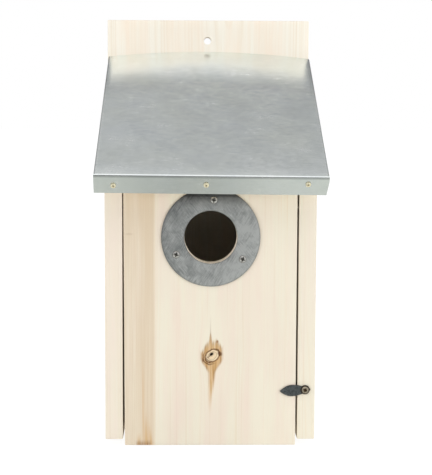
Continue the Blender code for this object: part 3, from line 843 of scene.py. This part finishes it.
def make_front_panel(material):
    node = "front_panel"
    low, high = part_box(node)
    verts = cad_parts[node].data.vertices
    left_foot = min(vert.co.x for vert in verts if vert.co.z < low.z + 0.002)
    outline = [(left_foot, low.z), (high.x, low.z), (high.x, high.z), (low.x, high.z)]
    rows = [KNOT_RADII[0] * 1.3 * (step / 12 - 1) for step in range(25)]
    extra = ([KNOT.x + row for row in rows], (), [ORIGIN.z + KNOT.z + row for row in rows])
    piece = board(node, outline, 1, low.y, high.y, 7, PANEL_CELL, extra)
    for vert in piece.data.vertices:
        if vert.normal.y < -0.9:
            vert.co.y += knot_depth(vert.co)
    boolean(piece, bore(ENTRANCE, ENTRANCE_RADIUS, low.y - ENTRANCE.y, high.y - ENTRANCE.y))
    fit_out(piece, node, "front", material)


# ---- roof sheet
def sheet_rows(curl, length, lip):
    """Outer face of the sheet along the slope, as (y, z) points, and where its flat part starts."""
    points = [(0.0, -lip + (lip - BEND) * step / LIP_ROWS) for step in range(LIP_ROWS)]
    points += [(BEND * (1 - cos(turn)), BEND * (sin(turn) - 1)) for turn in quarter(BEND_ROWS)]
    flat_row = len(points) - 1
    start = length - UPTURN_LENGTH
    slit = BEND + RELIEF
    points += [(slit + (start - slit) * step / SLOPE_ROWS, 0.0) for step in range(SLOPE_ROWS + 1)]
    for step in range(1, CURL_ROWS + 1):
        share = step / CURL_ROWS
        rise = curl * share ** 2
        points.append((start + UPTURN_LENGTH * share + rise * SLOPE_TAN, rise))
    return points, flat_row


def wave(x, y):
    """Gentle unevenness, which fades out and droops a little at the front bend."""
    fade = min(1.0, max(0.0, y) / 0.012)
    slow = noise.noise(Vector((x * 16.0, y * 11.0, 0.4)))
    quick = noise.noise(Vector((x * 60.0, y * 45.0, 3.4)))
    droop = DROOP * max(0.0, 1 - max(0.0, y) / DROOP_LENGTH) ** 2
    return SHEET_WAVE * fade * (slow + 0.18 * quick) - droop


def dent(x, z, lip_screws):
    """Dimples that the tightened screws press into the lip."""
    depth = 0.0
    for screw in lip_screws:
        away = ((x - screw.x) ** 2 + (z - screw.z) ** 2) / DENT_RADIUS ** 2
        depth += DENT_DEPTH * 2.7 ** -away
    return depth


def join_columns(bm, left, right):
    """A band of faces between two rows of points."""
    for low in range(len(left) - 1):
        bm.faces.new((left[low], right[low], right[low + 1], left[low + 1]))


def make_roof_sheet(lip_screws):
    points = roof_points("roof_sheet")
    half = max(point.x for point in points)
    lip = -min(point.z for point in points if point.y < SHEET)
    flange = -min(point.z for point in points if point.y > 2 * UPTURN_LENGTH)
    curl = max(point.z for point in points)
    length = max(point.y for point in points) - curl * SLOPE_TAN + GAP
    screws = [ROOF.inverted() @ point for point in lip_screws]
    flat_half = half - SIDE_BEND
    bm = bmesh.new()
    made = []
    for column in range(SHEET_COLUMNS + 1):
        across = 2 * column / SHEET_COLUMNS - 1
        x = flat_half * across
        rows, flat_row = sheet_rows(curl * (1 - across ** 2), length, lip)
        pressed = [(y + (dent(x, z, screws) if z < -BEND else 0.0), z + wave(x, y)) for y, z in rows]
        made.append([bm.verts.new((x, y, z)) for y, z in pressed])
    for left, right in zip(made, made[1:]):
        join_columns(bm, left, right)
    for side, edge in ((-1, made[0]), (1, made[-1])):
        lip_part, roof_part = edge[:flat_row + 1], edge[flat_row + 1:]
        ends = []
        for vert in lip_part:
            low = min(1.0, max(0.0, (-vert.co.z / lip - 0.3) / 0.7))
            inset = LIP_SLANT * low if side > 0 else 0.0
            vert.co.x -= inset
            ends.append(bm.verts.new((side * half - inset, vert.co.y, vert.co.z)))
        join_columns(bm, lip_part, ends)
        add_flange(bm, side, roof_part, half, flange)
    outwards(bm)
    bm.transform(ROOF)
    sheet = make_object("roof_sheet_metal", smoothed(to_mesh(bm, "roof_sheet")))
    solid = sheet.modifiers.new("Thickness", "SOLIDIFY")
    solid.thickness = SHEET
    solid.offset = -1.0
    solid.use_even_offset = True
    apply_modifiers(sheet)
    fit_out(sheet, "roof_sheet", "box", zinc_sheet(half))


def add_flange(bm, side, inner, half, flange):
    """Side bend and flange; the lower a column lies, the sooner it meets the back board."""
    start, end = inner[0].co.y, inner[-1].co.y
    rows = [(SIDE_BEND * (1 - sin(turn)), SIDE_BEND * (1 - cos(turn))) for turn in quarter(8)[1:]]
    rows += [(0.0, SIDE_BEND + (flange - SIDE_BEND) * step / 4) for step in range(1, 5)]
    edge = [vert.co.copy() for vert in inner]
    for inset, drop in rows:
        x = side * (half - inset)
        shorter = 1 - drop * SLOPE_TAN / (end - start)
        outer = [bm.verts.new((x, start + (point.y - start) * shorter, point.z - drop)) for point in edge]
        join_columns(bm, inner, outer)
        inner = outer


# ---- plate and button
def make_plate(screws, material):
    low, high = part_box("entrance_plate")
    radius = (high.x - low.x) / 2
    thick = high.y - low.y
    width = radius - ENTRANCE_RADIUS
    ease = [(PLATE_ROUND * (1 - cos(turn)), PLATE_ROUND * (1 - sin(turn))) for turn in quarter(4)]
    profile = [(ENTRANCE_RADIUS, 0.0), (radius, 0.0)]
    profile += [(radius - inset, thick - drop) for inset, drop in ease]
    profile += [(ENTRANCE_RADIUS + width * share, thick) for share in (0.75, 0.5, 0.25)]
    profile += [(ENTRANCE_RADIUS + drop, thick - inset) for inset, drop in ease]
    bm = turned([*profile, profile[0]], 160)
    for vert in bm.verts:
        if vert.co.z > thick / 2:
            vert.co.z -= 0.00004 * (1 + noise.noise(vert.co * 70.0))
    placed = facing((ENTRANCE.x, high.y, ENTRANCE.z), (0, -1, 0))
    piece = make_object("entrance_plate_metal", smoothed(to_mesh(bm, "entrance_plate")), placed)
    holes = bmesh.new()
    for node in screws:
        hole = drill(PLATE_SCREW.shank + GAP, thick * 2)
        merge_into(holes, hole, placed.inverted() @ screw_place(node))
    boolean(piece, holes)
    piece.data.transform(placed)
    piece.matrix_world = Matrix()
    fit_out(piece, "entrance_plate", "front", material)


def leaf_half_width(x, reach):
    """Half the leaf's width at x, which runs from -reach at its tip to the eye."""
    run = reach - 0.5 * BUTTON_EYE
    share = (x + reach) / run
    peak = (reach - LEAF_WIDEST) / run
    if share < peak:
        return LEAF_HALF * sin(pi / 2 * share / peak) ** LEAF_POINT
    fall = (share - peak) / (1 - peak)
    return LEAF_HALF - (LEAF_HALF - LEAF_NECK) * fall ** 2


def leaf_loop(bm, outline, reach, inset, height):
    """The leaf's outline at a height above its back, drawn in towards its middle line."""
    shift = LEAF_TIP_SLOPE * (1 - inset)
    loop = [bm.verts.new((-reach + shift, -height, 0.0))]
    for side, points in ((1, outline), (-1, outline[::-1])):
        for x, width in points:
            near_tip = max(0.0, (-x / reach - 0.6) / 0.4)
            loop.append(bm.verts.new((x + shift * near_tip, -height, side * width * inset)))
    return loop


def leaf_mesh(reach, thick):
    """Pressed leaf with a crowned face; its back is in the plane Y = 0."""
    bm = bmesh.new()
    run = reach - 0.5 * BUTTON_EYE
    places = [-reach + run * (1 - cos(pi * step / 40)) / 2 for step in range(1, 41)]
    outline = [(x, leaf_half_width(x, reach)) for x in places]
    loops = [leaf_loop(bm, outline, reach, inset, level * thick) for inset, level in LEAF_LEVELS]
    bmesh.ops.triangulate(bm, faces=loft(bm, loops))
    return outwards(bm)


def make_button(material):
    """The leaf, with a thicker eye round its screw and a nub beside the eye."""
    low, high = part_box("turn_button")
    thick = high.y - low.y
    centre = sum(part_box("turn_button_screw"), Vector()) / 2
    centre.y = high.y
    matrix = Matrix.Translation(centre) @ Matrix.Rotation(BUTTON_TILT, 4, "Y")
    leaf = to_mesh(leaf_mesh((centre.x - low.x) / cos(BUTTON_TILT), thick), "turn_button")
    piece = make_object("turn_button_metal", smoothed(leaf), matrix)
    forwards = Matrix.Rotation(pi / 2, 4, "X")
    rim = [(BUTTON_EYE - inset, level * thick) for inset, level in EYE_RIM]
    disc = turned([(0.0, 0.0), *rim, (0.0, rim[-1][1])], 64)
    disc.transform(forwards)
    boolean(piece, disc, "UNION")
    nub = turned([(0.0, 0.0), (BUTTON_NUB, 0.0), (BUTTON_NUB, thick * 0.6),
                  (BUTTON_NUB * 0.73, thick * 0.78), (0.0, thick * 0.8)], 24)
    nub.transform(Matrix.Translation((BUTTON_EYE - BUTTON_NUB * 0.45, 0, 0)) @ forwards)
    boolean(piece, nub, "UNION")
    hole = drill(BUTTON_SCREW.shank + GAP, 3 * thick)
    hole.transform(forwards)
    boolean(piece, hole)
    fit_out(piece, "turn_button", "button", material)


# ---- screws
def screw_kind(node):
    return next(kind for kind in KINDS if node.startswith(kind))


def screw_direction(node):
    """Which way the screw's head looks."""
    if node.startswith("roof"):
        return ROOF.col[2].xyz
    if node.startswith("lip"):
        return -ROOF.col[1].xyz
    if node.startswith("back"):
        return Vector((0, 1, 0))
    if node.startswith(("floor", "pivot")):
        return Vector((1 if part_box(node)[0].x > 0 else -1, 0, 0))
    return Vector((0, -1, 0))


def screw_place(node):
    """Matrix with its origin where the head meets the surface, found from the screw's point."""
    direction = screw_direction(node)
    kind = KINDS[screw_kind(node)]
    tip = min((vert.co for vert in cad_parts[node].data.vertices), key=lambda co: co.dot(direction))
    return facing(tip + direction * kind.length, direction)


def thread(bm, kind):
    """Move the plain shank's points in and out along a helix."""
    pitch = kind.shank * THREAD_PITCH
    top = -kind.rise * 1.3 if kind.flush else -kind.shank
    for vert in bm.verts:
        radius = vert.co.xy.length
        if not -kind.length + 0.0006 < vert.co.z < top or radius < kind.shank * 0.3:
            continue
        turn = atan2(vert.co.y, vert.co.x) / (2 * pi)
        share = (vert.co.z / pitch - turn) % 1.0
        scale = THREAD_CORE + (1 - THREAD_CORE) * abs(2 * share - 1) ** 2.2
        vert.co.x *= scale
        vert.co.y *= scale


def screw_mesh(name, kind):
    """Cross-head screw, its threaded shank along -Z."""
    head, rise = kind.head, kind.rise
    reach = kind.length - (rise if kind.flush else 0.0)
    profile = [(0.0, -kind.length)]
    for step in range(1, THREAD_ROWS + 1):
        run = reach * step / THREAD_ROWS
        profile.append((kind.shank * min(1.0, (run / (2.2 * kind.shank)) ** 0.8), run - kind.length))
    if kind.flush:
        profile += [(head * share, height) for share, height in FLUSH_TOP]
    else:
        profile += [(head * 0.97, 0.0), (head, 0.00006), (head, rise * 0.25)]
        for angle in range(12, 84, 12):
            profile.append((head * cos(radians(angle)), rise * (0.25 + 0.75 * sin(radians(angle)))))
        profile.append((0.0, rise))
    bm = turned(profile, 36)
    thread(bm, kind)
    obj = make_object(name, smoothed(to_mesh(bm, name)))
    boolean(obj, cross(head * kind.recess, 0.0 if kind.flush else rise))
    mesh = obj.data
    bpy.data.objects.remove(obj)
    return mesh


def cross(head, crown):
    """Cutter for the recess: a cross that narrows downwards."""
    bm = bmesh.new()
    loops = []
    for height, reach, half in RECESS:
        corners = []
        for step in range(4):
            turn = Matrix.Rotation(pi / 2 * step, 2)
            corners += [turn @ Vector(corner) for corner in ((reach, -half), (reach, half), (half, half))]
        loops.append([bm.verts.new((head * u, head * v, crown + head * height)) for u, v in corners])
    loft(bm, loops)
    return outwards(bm)


def make_screws(materials):
    """Every screw, turned by a different amount; screws of a kind share their mesh."""
    chance = random.Random(4)
    meshes = {}
    for node in sorted(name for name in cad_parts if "screw" in name):
        kind_name = screw_kind(node)
        slot = KINDS[kind_name].slot
        if kind_name not in meshes:
            meshes[kind_name] = screw_mesh(kind_name, KINDS[kind_name])
        spin = Matrix.Rotation(chance.uniform(0, pi / 2), 4, "Z")
        piece = make_object(node + "_metal", meshes[kind_name], screw_place(node) @ spin)
        body = "front" if kind_name == "entrance_plate_screw" else "box"
        fit_out(piece, node, body, materials[slot])


def screws_named(*starts):
    return [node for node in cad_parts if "screw" in node and node.startswith(starts)]


# ---- studio
def make_camera():
    data = bpy.data.cameras.new("camera")
    data.lens = CAMERA_LENS
    data.sensor_width = 36.0
    data.clip_start, data.clip_end = 0.05, 50.0
    aim = Matrix.Rotation(CAMERA_YAW, 4, "Z") @ Matrix.Rotation(pi / 2 - CAMERA_PITCH, 4, "X")
    roll = Matrix.Rotation(CAMERA_ROLL, 4, "Z")
    place = Matrix.Translation(CAMERA_PLACE)
    bpy.context.scene.camera = make_object("camera", data, place @ aim @ roll)


def make_floor():
    """White floor, luminous to the camera; metal sees a darker one, with a painted shadow before the box.
    """
    bpy.ops.mesh.primitive_plane_add(size=FLOOR_SIZE, location=(0, 0, cad_box[0].z - 0.0005))
    ground = bpy.context.object
    ground.name = "floor"
    material, tree, shader = new_material("floor")
    preset(shader, Roughness=0.9, Specular_IOR_Level=0.0, Emission_Color=(1.0, 1.0, 1.0, 1.0))
    seen = ray(tree, "Camera")
    x = position(tree)[0]
    middle, width, depth = FLOOR_PAINTED_SHADOW
    # shade paints a shadow strip before the box and a little light towards the right, for the metal to
    # mirror.
    shade = x.bell(middle, width) * -depth + x * 0.00040 + 0.985
    bounce = shade.between((0.0, 0.0, 0.0), FLOOR_BOUNCE)
    seen.between(bounce, (FLOOR_SEEN,) * 3).into(shader.inputs["Base Color"])
    (seen * FLOOR_GLOW[0] + ray(tree, "Diffuse") * FLOOR_GLOW[1]).into(shader.inputs["Emission Strength"])
    ground.data.materials.append(material)


def make_world():
    """White to the camera; a bright soft box overhead in front, dimmer behind and low in front."""
    world = bpy.data.worlds.new("studio")
    bpy.context.scene.world = world
    world.use_nodes = True
    tree = world.node_tree
    background = tree.nodes["Background"]
    preset(background, Color=(1.0, 1.0, 1.0, 1.0))
    x, y, z = coordinates(tree, "Generated")
    softbox = y * -cos(SOFTBOX_ELEVATION) + z * sin(SOFTBOX_ELEVATION)
    softbox = softbox.smooth(cos(SOFTBOX_EDGE), cos(SOFTBOX_CORE))
    behind = (y * cos(BEHIND_ELEVATION) + z * sin(BEHIND_ELEVATION)).smooth(0.92, 0.995)
    low_front = (y * -1.0).smooth(0.55, 0.95) * (1.0 - softbox)
    light = SIDE_LIGHT + (BEHIND_LIGHT + x * -0.50 - SIDE_LIGHT) * behind
    light = light + (LOW_LIGHT + x * 0.5 - light) * low_front
    bright = ray(tree, "Glossy") * (SOFTBOX_MIRRORED - SOFTBOX_LIGHT) + SOFTBOX_LIGHT
    light = light + (bright - light) * softbox
    (light + (1.0 - light) * ray(tree, "Camera")).into(background.inputs["Strength"])
    bpy.context.scene.view_settings.view_transform = "Standard"


def make_fill():
    """Two low soft lights, left and right, that reach under the roof; kept out of reflections."""
    for side, share in ((-1, 1.0), (1, FILL_RIGHT)):
        data = bpy.data.lights.new("fill", "AREA")
        data.shape = "RECTANGLE"
        data.size, data.size_y = FILL_SIZE
        data.energy = FILL_POWER * share
        away = Vector((side * sin(FILL_ANGLE), -cos(FILL_ANGLE), 0.0))
        place = away * FILL_AWAY - Vector((0, 0, FILL_DROP))
        lamp = make_object("fill", data, facing(place, -away) @ Matrix.Rotation(pi, 4, "X"))
        lamp.visible_camera = lamp.visible_glossy = False


make_world()
make_floor()
make_camera()
make_fill()
make_back_board(screws_named("back"),
                wood("back_pine", (2, 0, 1), (20.0, 210.0), 3.1, 1.3, 0.22, BACK_EARLY, BACK_BLUSH,
                     lines=0.20, behind=True))
make_side_board("left_side_board", screws_named("floor_screw_1", "floor_screw_2", "pivot_screw_left"),
                wood("left_pine", (2, 1, 0), (60.0, -130.0), 2.9, 2.6), 2)
make_side_board("right_side_board", screws_named("floor_screw_3", "floor_screw_4", "pivot_screw_right"),
                wood("right_pine", (2, 1, 0), (110.0, 140.0), 3.3, 5.2), 3)
make_floor_board(wood("floor_pine", (0, 1, 2), (90.0, -35.0), 3.4, 8.1))
make_roof_board(screws_named("roof"), wood("roof_pine", (0, 1, 2), (60.0, 220.0), 3.0, 9.4))
make_front_panel(wood("panel_pine", (2, 0, 1), (-240.0, 90.0), 3.1, 3.7, 0.20, blush=BLUSH, tilt=0.0,
                      lines=0.85, knot=True))
make_roof_sheet([screw_place(f"lip_screw_{number}").translation for number in (1, 2, 3)])
make_plate(screws_named("entrance_plate"), brushed_plate())
make_button(dark_pewter())
make_screws({
    "steel_screw": screw_metal("screw_steel", (0.66, 0.65, 0.62), (0.34, 0.33, 0.31), 0.34),
    "plate_screw": screw_metal("plate_screw_steel", (0.80, 0.79, 0.76), (0.12, 0.11, 0.10), 0.28, 1.35,
                               0.85, PLATE_SCREW.head * MM),
    "yellow_screw": screw_metal("yellow_screw_metal", (1.0, 0.94, 0.70), (0.30, 0.19, 0.07), 0.30, 0.6,
                                0.55),
    "button_screw": screw_metal("button_screw_metal", (0.58, 0.52, 0.41), (0.14, 0.09, 0.05), 0.36, 1.55)})
